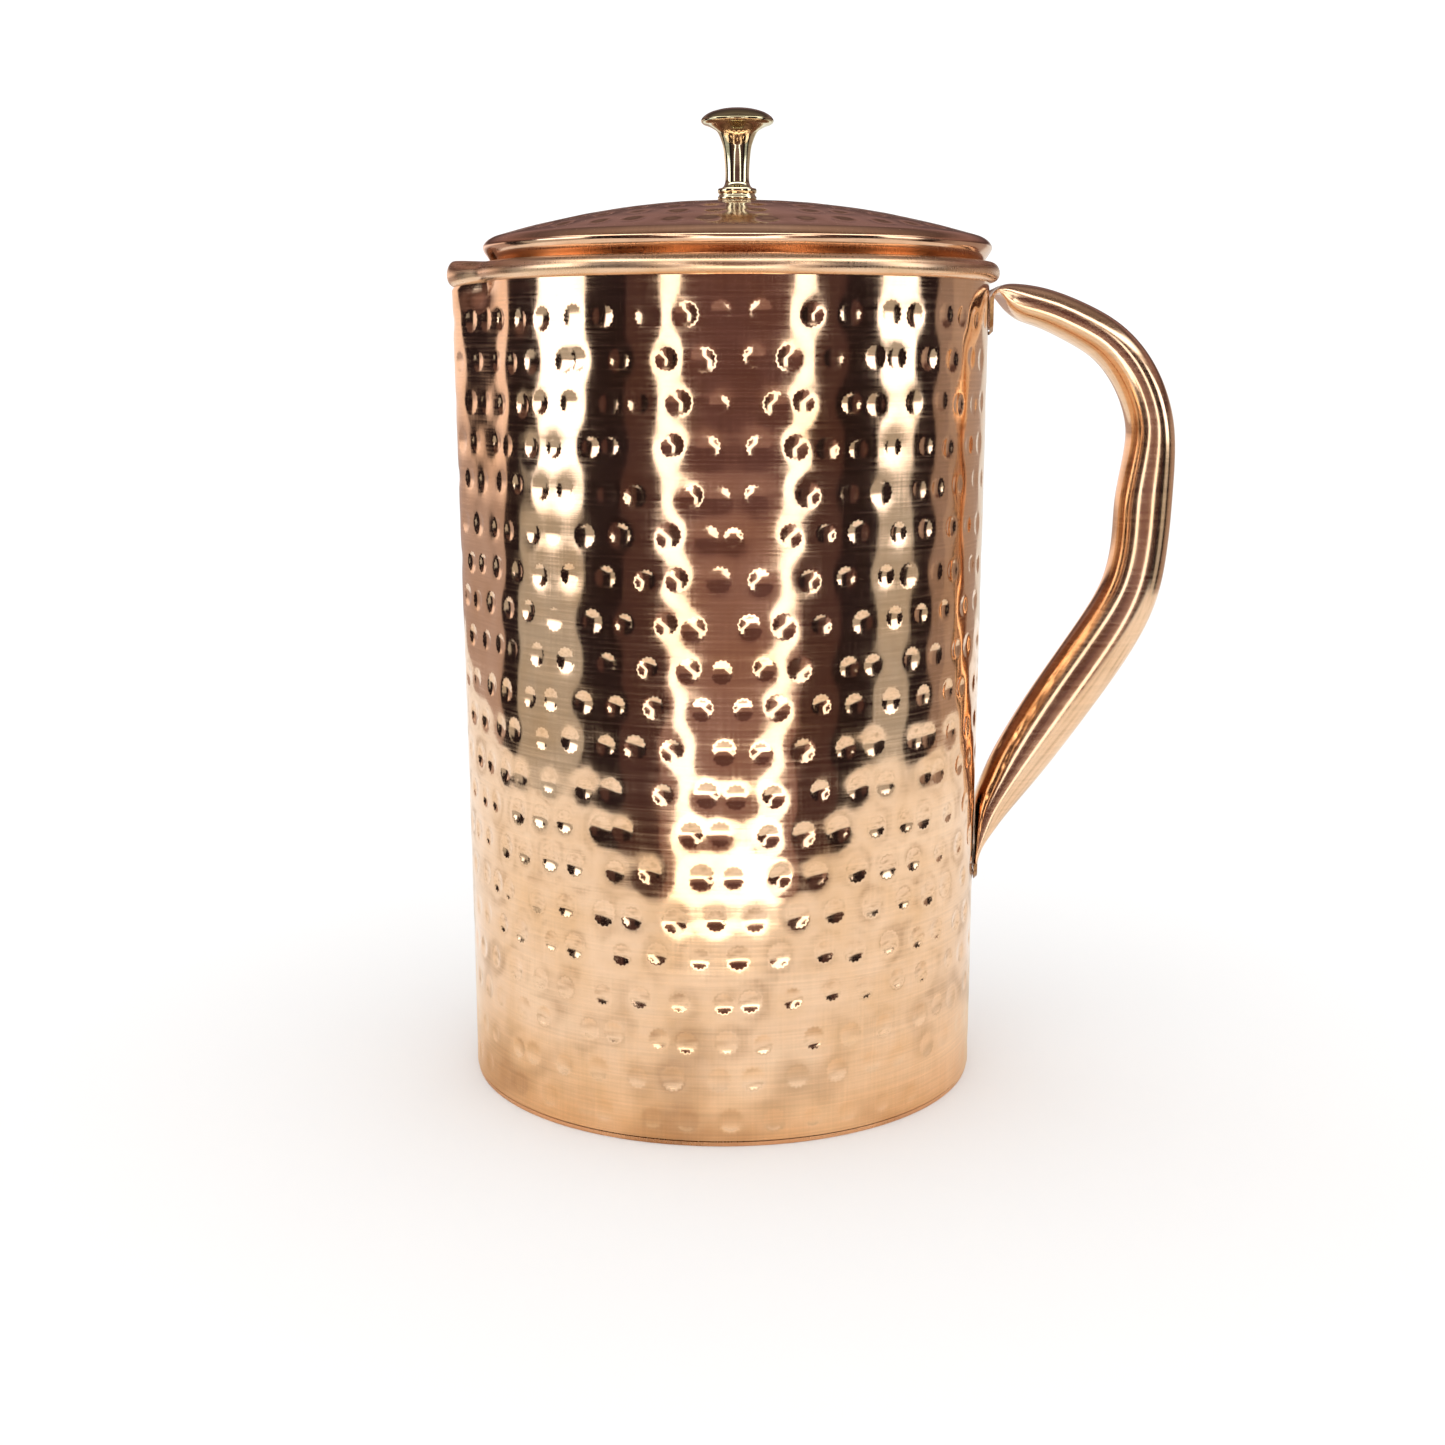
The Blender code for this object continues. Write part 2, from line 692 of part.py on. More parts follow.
def main():
    clear_scene()
    jug = empty("jug_frame", (0, 0, 0))
    lid = empty("lid_axis", (MOUTH_OFFSET, 0, RIM_TOP))
    make_body_shell(jug)
    make_rim_wire(jug)
    make_base_plate(jug)
    make_base_braze(jug)
    make_handle_tube(jug)
    upper_tip = HANDLE_TOP - UPPER_BEND - UPPER_TONGUE
    make_handle_braze("handle_braze_upper", upper_tip, UPPER_TONGUE, jug)
    lower_tip = HANDLE_TOP - HANDLE_DROP
    make_handle_braze("handle_braze_lower", lower_tip, LOWER_TONGUE, jug)
    make_lid_dome(lid)
    make_lid_collar(lid)
    make_collar_braze(lid)
    make_knob(lid)
    make_knob_washer(lid)
    make_knob_screw(lid)


main()
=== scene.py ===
"""Looks of a hammered copper water jug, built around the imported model.

Metres, +Z up. The pouring lip points to -X and the handle to +X. The wall is a sheet of
copper with rows of hammer blows, the lid is spun and hammered, and the knob is turned.
"""

import math

import bpy
import numpy as np
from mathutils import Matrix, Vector
from mathutils.geometry import delaunay_2d_cdt


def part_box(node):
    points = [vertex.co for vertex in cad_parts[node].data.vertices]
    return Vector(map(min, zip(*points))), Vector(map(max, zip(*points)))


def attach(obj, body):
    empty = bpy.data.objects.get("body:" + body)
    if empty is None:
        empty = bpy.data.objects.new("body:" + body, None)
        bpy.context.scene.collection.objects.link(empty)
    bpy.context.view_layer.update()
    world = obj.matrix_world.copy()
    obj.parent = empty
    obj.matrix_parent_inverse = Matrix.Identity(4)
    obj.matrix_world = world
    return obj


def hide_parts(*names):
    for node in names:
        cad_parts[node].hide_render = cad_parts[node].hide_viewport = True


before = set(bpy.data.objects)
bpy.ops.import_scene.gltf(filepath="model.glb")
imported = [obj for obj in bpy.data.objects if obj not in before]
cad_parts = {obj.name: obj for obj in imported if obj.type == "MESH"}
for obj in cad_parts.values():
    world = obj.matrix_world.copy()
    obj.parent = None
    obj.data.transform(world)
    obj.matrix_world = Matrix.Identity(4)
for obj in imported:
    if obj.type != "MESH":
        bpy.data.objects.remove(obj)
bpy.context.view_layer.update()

# ---------------------------------------------------------------- sizes

# The sheet and its rolled rim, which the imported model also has.
SHEET = 0.0008
LID_SHEET = 0.0007
ROLL_RADIUS = 0.00185
ROLL_OUT = 0.00035  # the middle of the roll stands this far outside the wall's line
NECK = 0.0013  # height of the sheet between the straight wall and the roll
BEAD_CROWN = 0.0005  # the roll's outer side stands this much higher than its inner one
CROWN_STARTS = -0.0009  # from the middle of the roll outwards, where that rise begins
CROWN_WIDTH = 0.001
BASE_INSET = 0.0002

# The pouring lip: narrow at the bead, and drawn out broad in the sheet below it.
LIP_REACH = 0.0079  # past the round mouth, in the sheet
LIP_ROLL_REACH = 0.0067  # the same, in the roll
LIP_ROLL_SAG = 0.0009  # the roll gets this much taller downwards at the tip
LIP_ROLL_LIFT = 0.0005  # and this much upwards
LIP_HALF_ANGLE = math.radians(15.5)  # of the narrow lip, round the mouth
LIP_ROUND = 0.35  # roundness of the narrow tip, as a share of its half angle
LIP_FADE = 0.2  # share of its reach in which the narrow lip runs out into the bead
LIP_DRAWN = 0.006  # height below the bead over which the lip spreads
LIP_TANGENT = math.radians(28)  # where the broad lip's straight sides touch the wall
LIP_TIP = math.radians(8)  # roundness of the broad tip

# The lid and the knob.
DOME_RADIUS = 0.1840
CREASE_INSET = 0.0022  # from the lid's edge in to where the hammered dome begins
EDGE_LIFT = 0.0038  # height of the lid's widest line above the rim
EDGE_FOOT_INSET = 0.0019
LID_BORE = 0.0018
STEM_RADIUS = 0.0027
KNOB_FOOT_RADIUS = 0.00435

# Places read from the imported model.
body_low, body_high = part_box("body_shell")
base_low, base_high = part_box("base_plate")
lid_low, lid_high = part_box("lid_dome")
knob_low, knob_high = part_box("knob")
collar_low, collar_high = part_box("lid_collar")
RIM_TOP = body_high.z
WALL_FOOT = body_low.z
WALL_HEIGHT = RIM_TOP - 2 * ROLL_RADIUS - NECK
WALL_TOP = WALL_HEIGHT + NECK + 0.5 * ROLL_RADIUS  # inside the roll
ROLL_CENTRE_Z = RIM_TOP - ROLL_RADIUS
BASE_RADIUS = -base_low.x + BASE_INSET
LID_RADIUS = (lid_high.x - lid_low.x) / 2
LID_CREASE = LID_RADIUS - CREASE_INSET
MOUTH_X = (lid_high.x + lid_low.x) / 2
MOUTH_RADIUS = LID_RADIUS - ROLL_OUT
MEAN_RADIUS = (BASE_RADIUS + MOUTH_RADIUS) / 2
GIRTH = math.tau * MEAN_RADIUS

# Hammer blows: a ball-faced hammer leaves a round dent with a soft shoulder round it.
BLOW_RADIUS = 0.00235
BLOW_DEPTH = 0.00026
SHOULDER_DEPTH = 0.00016
SHOULDER_RADIUS = 0.0033
SHOULDER_ENDS = 2.6 * SHOULDER_RADIUS  # no mark is left further out than this
BLOW_EDGE = 0.14  # softness of the dent's edge
WALL_ROWS = 20
WALL_BLOWS = 42
TOP_ROW = 0.1740
ROW_STEP = 0.00885
LID_RINGS = 6
LID_RING_STEP = 0.0083
LID_BLOW_STEP = 0.0088
HELD = 0.003  # the blows die out over this width where the sheet is held
HELD_BY_RIM = 0.004

# How uneven the smith's hand is.
SLIP_ROUND = 0.0012
SLIP_UP = 0.00025
ROW_WAVE = 0.0005
WALL_BLOW_SIZES = (0.88, 1.10)
WALL_BLOW_FORCES = (0.6, 1.25)
SOFT_ROWS = 5  # the lowest rows, which are struck more and more lightly
SOFTEST = 0.55
LID_SLIP_ROUND = 0.0007
LID_SLIP_OUT = 0.0004
LID_BLOW_SIZES = (0.9, 1.12)
LID_BLOW_FORCES = (0.9, 1.4)

# How finely the sheets are divided.
SEAM_COLUMNS = 290
SEAM_ROWS = 90
HONEYCOMB_ROW = 0.87  # height of a honeycomb's row, as a share of its spacing
SAME_PLACE = 1e-7
ON_THE_RING = 1e-6
LID_STEPS = 240
BORE_STEPS = 24


# ---------------------------------------------------------------- small helpers


def deselect():
    bpy.ops.object.select_all(action="DESELECT")


def linear(hex_colour):
    """A material's sRGB hex colour as the linear RGBA that a shader takes."""
    channels = []
    for i in (1, 3, 5):
        value = int(hex_colour[i : i + 2], 16) / 255
        low = value <= 0.04045
        channels.append(value / 12.92 if low else ((value + 0.055) / 1.055) ** 2.4)
    return (*channels, 1.0)


def add(tree, kind, inputs=None, **settings):
    """Adds a node, sets its properties, and sets or links its inputs."""
    node = tree.nodes.new("ShaderNode" + kind)
    for name, value in settings.items():
        setattr(node, name, value)
    for name, value in (inputs or {}).items():
        socket = node.inputs[name]
        if isinstance(value, bpy.types.NodeSocket):
            tree.links.new(value, socket)
        else:
            socket.default_value = value
    return node


def ramp(tree, factor, stops):
    """A colour ramp through (position, colour) stops."""
    node = add(tree, "ValToRGB", {0: factor})
    bar = node.color_ramp
    while len(bar.elements) < len(stops):
        bar.elements.new(0.5)
    for element, (position, colour) in zip(bar.elements, stops):
        element.position = position
        element.color = colour
    return node.outputs["Color"]


def new_material(name):
    material = bpy.data.materials.new(name)
    material.use_nodes = True
    tree = material.node_tree
    return material, tree, tree.nodes["Principled BSDF"]


def piece(name, points, faces, normals):
    """A smooth mesh object from points, faces and exact normals."""
    mesh = bpy.data.meshes.new(name)
    mesh.from_pydata([tuple(p) for p in points], [], [tuple(f) for f in faces])
    mesh.update()
    mesh.shade_smooth()
    mesh.normals_split_custom_set_from_vertices([tuple(n) for n in normals])
    obj = bpy.data.objects.new(name, mesh)
    bpy.context.scene.collection.objects.link(obj)
    return obj


def dress(obj, material, body, slot, *nodes):
    """Gives a piece its material and body, and the nodes it stands for."""
    obj.data.materials.clear()
    obj.data.materials.append(material)
    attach(obj, body)
    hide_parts(*nodes)


# ---------------------------------------------------------------- shape of the wall


def lip_share(angle, drawn=0.0):
    """1 at the tip of the lip, falling to 0 at both sides of it.

    At the bead (drawn 0) the lip is narrow. Below it (drawn 1) the sheet runs to the tip
    in two straight lines that touch the round wall.
    """
    away = np.abs(np.mod(angle, math.tau) - math.pi)
    aside = away / LIP_HALF_ANGLE
    left = 1 - (np.hypot(aside, LIP_ROUND) - LIP_ROUND) / (math.hypot(1, LIP_ROUND) - LIP_ROUND)
    faded = (np.clip(left + LIP_FADE, 0, None)) ** 2 / (4 * LIP_FADE)
    narrow = np.where(left > LIP_FADE, left, faded)
    rounded = np.hypot(away, LIP_TIP) - LIP_TIP
    rounded *= LIP_TANGENT / (math.hypot(LIP_TANGENT, LIP_TIP) - LIP_TIP)
    broad = 1 / np.cos(np.clip(LIP_TANGENT - rounded, 0, None)) - 1
    broad /= 1 / math.cos(LIP_TANGENT) - 1
    return narrow + drawn * (broad - narrow)


def mouth_outline(angle, reach, drawn=0.0):
    radius = MOUTH_RADIUS + reach * lip_share(angle, drawn)
    return np.stack([MOUTH_X + radius * np.cos(angle), radius * np.sin(angle)], axis=-1)


def mouth_normal(angle, drawn=0.0):
    step = 0.01
    ahead = mouth_outline(angle + step, LIP_REACH, drawn)
    along = ahead - mouth_outline(angle - step, LIP_REACH, drawn)
    normal = np.stack([along[..., 1], -along[..., 0]], axis=-1)
    return normal / np.linalg.norm(normal, axis=-1, keepdims=True)


def wall_surface(angle, height, depth):
    """Points of the wall at these angles and heights, this deep under its outer face."""
    share = np.clip(height / WALL_HEIGHT, 0, 1)[..., None]
    above = np.clip((height - WALL_HEIGHT) / NECK, 0, 1)
    reach = LIP_REACH + above * (LIP_ROLL_REACH - LIP_REACH)
    drawn = np.clip((WALL_HEIGHT - height) / LIP_DRAWN, 0, 1)
    drawn = drawn * drawn * (3 - 2 * drawn)
    outward = np.stack([np.cos(angle), np.sin(angle)], axis=-1)
    plan = BASE_RADIUS * outward * (1 - share) + mouth_outline(angle, reach, drawn) * share
    normal = outward * (1 - share) + mouth_normal(angle, drawn) * share
    normal /= np.linalg.norm(normal, axis=-1, keepdims=True)
    plan = plan - depth[..., None] * normal
    return np.concatenate([plan, height[..., None]], axis=-1)


def rim_surface(angle, out, up):
    """Points of the rolled rim, this far outside the wall's line, at these heights."""
    plan = mouth_outline(angle, LIP_ROLL_REACH) + out[..., None] * mouth_normal(angle)
    below_top = (RIM_TOP - up) / (2 * ROLL_RADIUS)
    stretch = LIP_ROLL_LIFT * (1 - below_top) - LIP_ROLL_SAG * below_top
    height = up + stretch * lip_share(angle)
    return np.concatenate([plan, height[..., None]], axis=-1)


# ---------------------------------------------------------------- hammer blows


def dents(u, v, blows, swell=0.0):
    """How deep the blows leave the sheet at flat places (u, v)."""
    depth = np.zeros_like(u)
    for centre_u, centre_v, radius, force in blows:
        beside = np.abs(u - centre_u) < SHOULDER_ENDS
        level = np.abs(v - centre_v) < SHOULDER_ENDS
        near = np.nonzero(beside & level)[0]
        away = np.hypot(u[near] - centre_u, v[near] - centre_v)
        inside = 1 - (away / (radius + swell)) ** 2
        edge = BLOW_EDGE + swell / radius
        cap = 0.5 * (inside + np.sqrt(inside**2 + edge**2))
        shoulder = np.exp(-((away / SHOULDER_RADIUS) ** 2))
        depth[near] += force * (BLOW_DEPTH * cap + SHOULDER_DEPTH * shoulder)
    return depth


def wall_blows():
    """(u, v, radius, force) of each blow, in staggered rows on the unrolled wall."""
    draw = np.random.default_rng(7)
    clear_of_seam = BLOW_RADIUS * 1.3
    blows = []
    for row in range(WALL_ROWS):
        height = TOP_ROW - row * ROW_STEP
        rows_below = WALL_ROWS - 1 - row
        fading = min(1.0, SOFTEST + (1 - SOFTEST) * rows_below / SOFT_ROWS)
        wander = draw.uniform(0, math.tau)
        for column in range(WALL_BLOWS):
            share = (column + 0.25 + 0.5 * (row % 2)) / WALL_BLOWS
            u = GIRTH * share + draw.normal(0, SLIP_ROUND)
            wave = ROW_WAVE * math.sin(math.tau * share * 2 + wander)
            v = height + draw.normal(0, SLIP_UP) + wave
            radius = BLOW_RADIUS * draw.uniform(*WALL_BLOW_SIZES)
            force = fading * draw.uniform(*WALL_BLOW_FORCES)
            if clear_of_seam < u < GIRTH - clear_of_seam:
                blows.append((u, v, radius, force))
    return blows


def lid_blows():
    """(x, y, radius, force) of each blow, in rings round the middle of the lid."""
    draw = np.random.default_rng(11)
    blows = []
    for ring in range(1, LID_RINGS + 1):
        distance = ring * LID_RING_STEP - 0.0005
        count = round(math.tau * distance / LID_BLOW_STEP)
        start = draw.uniform(0, math.tau)
        for i in range(count):
            angle = start + math.tau * i / count + draw.normal(0, LID_SLIP_ROUND) / distance
            out = distance + draw.normal(0, LID_SLIP_OUT)
            radius = BLOW_RADIUS * draw.uniform(*LID_BLOW_SIZES)
            force = draw.uniform(*LID_BLOW_FORCES)
            blows.append((out * math.cos(angle), out * math.sin(angle), radius, force))
    return blows


def sheet_points(blows, rings, sides, spacing, border, inside):
    """Flat points: rings round each blow, a honeycomb between them, and the border."""
    points = [border]
    for u, v, radius, _ in blows:
        points.append(np.array([[u, v]]))
        for i, ring in enumerate(rings):
            angle = math.tau * (np.arange(sides) + 0.5 * (i % 2)) / sides
            circle = np.stack([np.cos(angle), np.sin(angle)], axis=-1)
            points.append(np.array([u, v]) + ring * radius * circle)
    low, high = border.min(axis=0), border.max(axis=0)
    across = np.arange(low[0], high[0], spacing)
    filler = []
    for i, v in enumerate(np.arange(low[1], high[1], spacing * HONEYCOMB_ROW)):
        filler.append(np.stack([across + spacing * 0.5 * (i % 2), np.full_like(across, v)], -1))
    filler = np.concatenate(filler)
    free = np.ones(len(filler), bool)
    for u, v, radius, _ in blows:
        clear = radius * (rings[-1] + 0.12)
        free &= np.hypot(filler[:, 0] - u, filler[:, 1] - v) > clear
    points.append(filler[free])
    points = np.concatenate(points)
    keep = inside(points)
    keep[: len(border)] = True
    return points[keep]


def triangles(points):
    """Faces between flat points, all turned the same way up."""
    result = delaunay_2d_cdt([Vector(p) for p in points], [], [], 0, SAME_PLACE)
    flat = np.array([tuple(p) for p in result[0]])
    faces = np.array(result[2])
    a, b, c = flat[faces[:, 0]], flat[faces[:, 1]], flat[faces[:, 2]]
    turned = (b[:, 0] - a[:, 0]) * (c[:, 1] - a[:, 1]) - (b[:, 1] - a[:, 1]) * (c[:, 0] - a[:, 0])
    faces[turned < 0] = faces[turned < 0][:, ::-1]
    return flat, faces[np.abs(turned) > 1e-12]


def surface_normals(surface, flat):
    """Normals of surface(u, v), from how it climbs to both sides of each flat point."""
    step = 0.00003
    across = surface(flat + [step, 0]) - surface(flat - [step, 0])
    up = surface(flat + [0, step]) - surface(flat - [0, step])
    normal = np.cross(across, up)
    return normal / np.linalg.norm(normal, axis=1, keepdims=True)


# ---------------------------------------------------------------- hammered wall


def row_at(flat, height):
    """The flat points at this height, in order along the row."""
    row = np.nonzero(np.abs(flat[:, 1] - height) < SAME_PLACE)[0]
    return row[np.argsort(flat[row, 0])]


def column_at(flat, distance):
    """The flat points this far round the wall, in order up the column."""
    column = np.nonzero(np.abs(flat[:, 0] - distance) < SAME_PLACE)[0]
    return column[np.argsort(flat[column, 1])]


def wall_border():
    """Flat points along the foot, the top and both sides of the unrolled wall."""
    u = GIRTH * np.arange(SEAM_COLUMNS + 1) / SEAM_COLUMNS
    v = WALL_FOOT + (WALL_TOP - WALL_FOOT) * np.arange(1, SEAM_ROWS) / SEAM_ROWS
    foot = np.stack([u, np.full_like(u, WALL_FOOT)], -1)
    top = np.stack([u, np.full_like(u, WALL_TOP)], -1)
    left = np.stack([np.zeros_like(v), v], -1)
    right = np.stack([np.full_like(v, GIRTH), v], -1)
    return np.concatenate([foot, top, left, right])


def wall_face(blows, depth, swell, rings, sides, spacing):
    """One face of the wall: its points, faces, normals, and its foot and top rows."""
    margin = 0.3 * spacing

    def inside(p):
        wide = (p[:, 0] > margin) & (p[:, 0] < GIRTH - margin)
        return wide & (p[:, 1] > WALL_FOOT + margin) & (p[:, 1] < WALL_TOP - margin)

    def surface(p):
        # The blows die out at the foot and below the rim, where the sheet is held.
        dent = dents(p[:, 0], p[:, 1], blows, swell)
        by_foot = np.clip((p[:, 1] - WALL_FOOT) / HELD, 0, 1)
        by_rim = np.clip((WALL_TOP - p[:, 1]) / HELD_BY_RIM, 0, 1)
        dent *= by_foot * by_rim
        return wall_surface(p[:, 0] / MEAN_RADIUS, p[:, 1], depth + dent)

    border = wall_border()
    flat, faces = triangles(sheet_points(blows, rings, sides, spacing, border, inside))
    # The seam: the last column is the first one again.
    merged = np.arange(len(flat))
    merged[column_at(flat, GIRTH)] = column_at(flat, 0.0)
    foot_row = merged[row_at(flat, WALL_FOOT)]
    top_row = merged[row_at(flat, WALL_TOP)]
    return surface(flat), merged[faces], surface_normals(surface, flat), foot_row, top_row


def make_wall():
    """The hammered sheet: outer face, inner face, and the edges that join them."""
    blows = wall_blows()
    # The outer face has five rings of points in and round each dent, to hold its edge.
    outer = wall_face(blows, 0.0, 0.0, (0.42, 0.78, 0.95, 1.08, 1.25), 15, 0.0021)
    # On the inner face the dents come through wider and softer.
    inner = wall_face(blows, SHEET, 0.0006, (0.7, 1.35), 8, 0.0036)
    count = len(outer[0])
    points = np.concatenate([outer[0], inner[0]])
    normals = np.concatenate([outer[2], -inner[2]])
    faces = [list(f) for f in outer[1]]
    faces += [list(f[::-1]) for f in inner[1] + count]
    for outer_row, inner_row, flip in ((outer[3], inner[3], True), (outer[4], inner[4], False)):
        for i in range(len(outer_row) - 1):
            over = [outer_row[i], outer_row[i + 1]]
            under = [inner_row[i + 1] + count, inner_row[i] + count]
            quad = over + under
            faces.append(quad[::-1] if flip else quad)
    used = np.unique(np.concatenate([np.ravel(f) for f in faces]))
    new_index = np.full(len(points), -1)
    new_index[used] = np.arange(len(used))
    faces = [[int(new_index[i]) for i in f] for f in faces]
    return piece("hammered_wall", points[used], faces, normals[used])


def make_rim():
    """The rolled rim, a bead round the mouth that runs out over the pouring lip."""
    thickness = 0.2
    deselect()
    bpy.ops.mesh.primitive_torus_add(
        major_segments=360, minor_segments=24, major_radius=1, minor_radius=thickness
    )
    rim = bpy.context.object
    rim.name = "rolled_rim"
    start = np.array([tuple(v.co) for v in rim.data.vertices])
    angle = np.arctan2(start[:, 1], start[:, 0])
    out = ROLL_OUT + ROLL_RADIUS * (np.hypot(start[:, 0], start[:, 1]) - 1) / thickness
    up = ROLL_CENTRE_Z + ROLL_RADIUS * start[:, 2] / thickness
    # The lid rests on the roll's inner side, so only the outer side stands higher.
    outside = np.clip((out - CROWN_STARTS) / CROWN_WIDTH, 0, 1)
    up += BEAD_CROWN * outside * np.clip(start[:, 2] / thickness, 0, 1)
    for vertex, place in zip(rim.data.vertices, rim_surface(angle, out, up)):
        vertex.co = place
    rim.data.update()
    rim.data.shade_smooth()
    return rim


# ---------------------------------------------------------------- turned pieces


def smooth_line(points, steps):
    """A smooth line through (radius, height) points, steps to each stretch."""
    points = np.array(points)
    padded = np.concatenate([points[:1], points, points[-1:]])
    line = []
    for before, start, end, after in zip(padded, padded[1:], padded[2:], padded[3:]):
        for step in range(steps):
            t = step / steps
            bend = (2 * before - 5 * start + 4 * end - after) * t**2
            twist = (3 * start - before - 3 * end + after) * t**3
            line.append(0.5 * (2 * start + (end - before) * t + bend + twist))
    line.append(points[-1])
    return [tuple(p) for p in line]


def turned_piece(name, outline, steps, centre_x=0.0):
    """Spins a closed outline of (radius, height) points round a vertical axis."""
    deselect()
    mesh = bpy.data.meshes.new(name)
    edges = [(i, (i + 1) % len(outline)) for i in range(len(outline))]
    edges = [e for e in edges if outline[e[0]][0] > 1e-6 or outline[e[1]][0] > 1e-6]
    mesh.from_pydata([(centre_x + r, 0.0, z) for r, z in outline], edges, [])
    obj = bpy.data.objects.new(name, mesh)
    bpy.context.scene.collection.objects.link(obj)
    bpy.context.view_layer.objects.active = obj
    obj.select_set(True)
    bpy.ops.object.mode_set(mode="EDIT")
    bpy.ops.mesh.select_all(action="SELECT")
    bpy.ops.mesh.spin(steps=steps, angle=math.tau, center=(centre_x, 0, 0), axis=(0, 0, 1))
    bpy.ops.mesh.select_all(action="SELECT")
    bpy.ops.mesh.remove_doubles(threshold=0.000002)
    bpy.ops.mesh.normals_make_consistent(inside=False)
    bpy.ops.object.mode_set(mode="OBJECT")
    obj.data.shade_smooth()
    obj.data.set_sharp_from_angle(angle=math.radians(50))
    return obj


def dome_height(radius):
    return lid_high.z - DOME_RADIUS + np.sqrt(DOME_RADIUS**2 - radius**2)


def lid_edge_outline():
    """The rolled edge of the lid, from the crease round to where it meets the collar."""
    widest = RIM_TOP + EDGE_LIFT
    low = lid_low.z
    foot = LID_RADIUS - EDGE_FOOT_INSET
    crease_height = float(dome_height(LID_CREASE))
    drop = crease_height - widest
    return [
        (LID_CREASE, crease_height),
        (LID_RADIUS - 0.0015, widest + 0.84 * drop),
        (LID_RADIUS - 0.0008, widest + 0.60 * drop),
        (LID_RADIUS - 0.0002, widest + 0.27 * drop),
        (LID_RADIUS, widest - 0.0001),
        (LID_RADIUS - 0.00035, widest - 0.0010),
        (foot + 0.0005, low + 0.0015),
        (foot, low + 0.0003),
        (foot - 0.0004, low),
        (collar_high.x - MOUTH_X + 0.0004, low),
    ]


def lid_underside_outline():
    """Up the inside of the rolled edge, then in under the dome to the bore."""
    inner_edge = [
        (collar_high.x - MOUTH_X + 0.0004, lid_low.z + LID_SHEET),
        (LID_RADIUS - 0.0025, lid_low.z + 0.0011),
        (LID_RADIUS - 0.0010, RIM_TOP + 0.0030),
        (LID_RADIUS - 0.0008, RIM_TOP + 0.0042),
        (LID_RADIUS - 0.0012, RIM_TOP + 0.0048),
        (LID_CREASE + 0.0004, float(dome_height(LID_CREASE)) - 0.0013),
    ]
    under = np.linspace(LID_CREASE - 0.0004, LID_BORE, 24)
    return inner_edge + [(r, float(dome_height(r)) - LID_SHEET) for r in under]


def ring_at(flat, radius):
    """The flat points this far from the middle, in order round it."""
    ring = np.nonzero(np.abs(np.hypot(flat[:, 0], flat[:, 1]) - radius) < ON_THE_RING)[0]
    angle = np.mod(np.arctan2(flat[ring, 1], flat[ring, 0]), math.tau)
    return ring[np.argsort(angle)]


def make_lid():
    """The hammered dome with its rolled edge, and its plain underside."""
    blows = lid_blows()
    angle = math.tau * np.arange(LID_STEPS) / LID_STEPS
    circle = np.stack([np.cos(angle), np.sin(angle)], axis=-1)
    share = LID_STEPS // BORE_STEPS
    border = np.concatenate([LID_CREASE * circle, LID_BORE * circle[::share]])

    def inside(p):
        away = np.hypot(p[:, 0], p[:, 1])
        return (away < LID_CREASE - 0.0006) & (away > LID_BORE + 0.0006)

    def surface(p):
        away = np.hypot(p[:, 0], p[:, 1])
        by_crease = np.clip((LID_CREASE - away) / HELD, 0, 1)
        held = by_crease * np.clip((away - LID_BORE) / HELD, 0, 1)
        height = dome_height(away) - held * dents(p[:, 0], p[:, 1], blows)
        return np.stack([p[:, 0] + MOUTH_X, p[:, 1], height], axis=-1)

    rings = (0.42, 0.76, 0.97, 1.2)
    flat, faces = triangles(sheet_points(blows, rings, 14, 0.0019, border, inside))
    middle = flat[faces].mean(axis=1)
    faces = faces[np.hypot(middle[:, 0], middle[:, 1]) > LID_BORE * 0.98]
    faces = [list(f) for f in faces]
    points = [surface(flat)]
    normals = [surface_normals(surface, flat)]

    # The rolled edge and the underside: one ring of faces after another, in to the bore.
    edge = smooth_line(lid_edge_outline(), 3)
    outline = edge[1:] + lid_underside_outline()
    along = np.gradient(np.array([edge[0]] + outline), axis=0)[1:]
    previous = ring_at(flat, LID_CREASE)
    total = len(flat)
    for (radius, height), (dr, dz) in zip(outline, along):
        x, y = radius * circle[:, 0], radius * circle[:, 1]
        points.append(np.column_stack([MOUTH_X + x, y, np.full(LID_STEPS, height)]))
        size = math.hypot(dr, dz)
        normals.append(np.column_stack([-dz / size * circle, np.full(LID_STEPS, dr / size)]))
        row = np.arange(total, total + LID_STEPS)
        total += LID_STEPS
        for i in range(LID_STEPS):
            j = (i + 1) % LID_STEPS
            faces.append([int(previous[i]), int(row[i]), int(row[j]), int(previous[j])])
        previous = row

    # The bore through the top, from the underside's last ring up to the dome.
    bore = ring_at(flat, LID_BORE)
    for i in range(BORE_STEPS):
        upper = [int(bore[(i + 1) % BORE_STEPS]), int(bore[i])]
        lower = [int(previous[(i * share + k) % LID_STEPS]) for k in range(share + 1)]
        faces.append(upper + lower)
    return piece("hammered_lid", np.concatenate(points), faces, np.concatenate(normals))


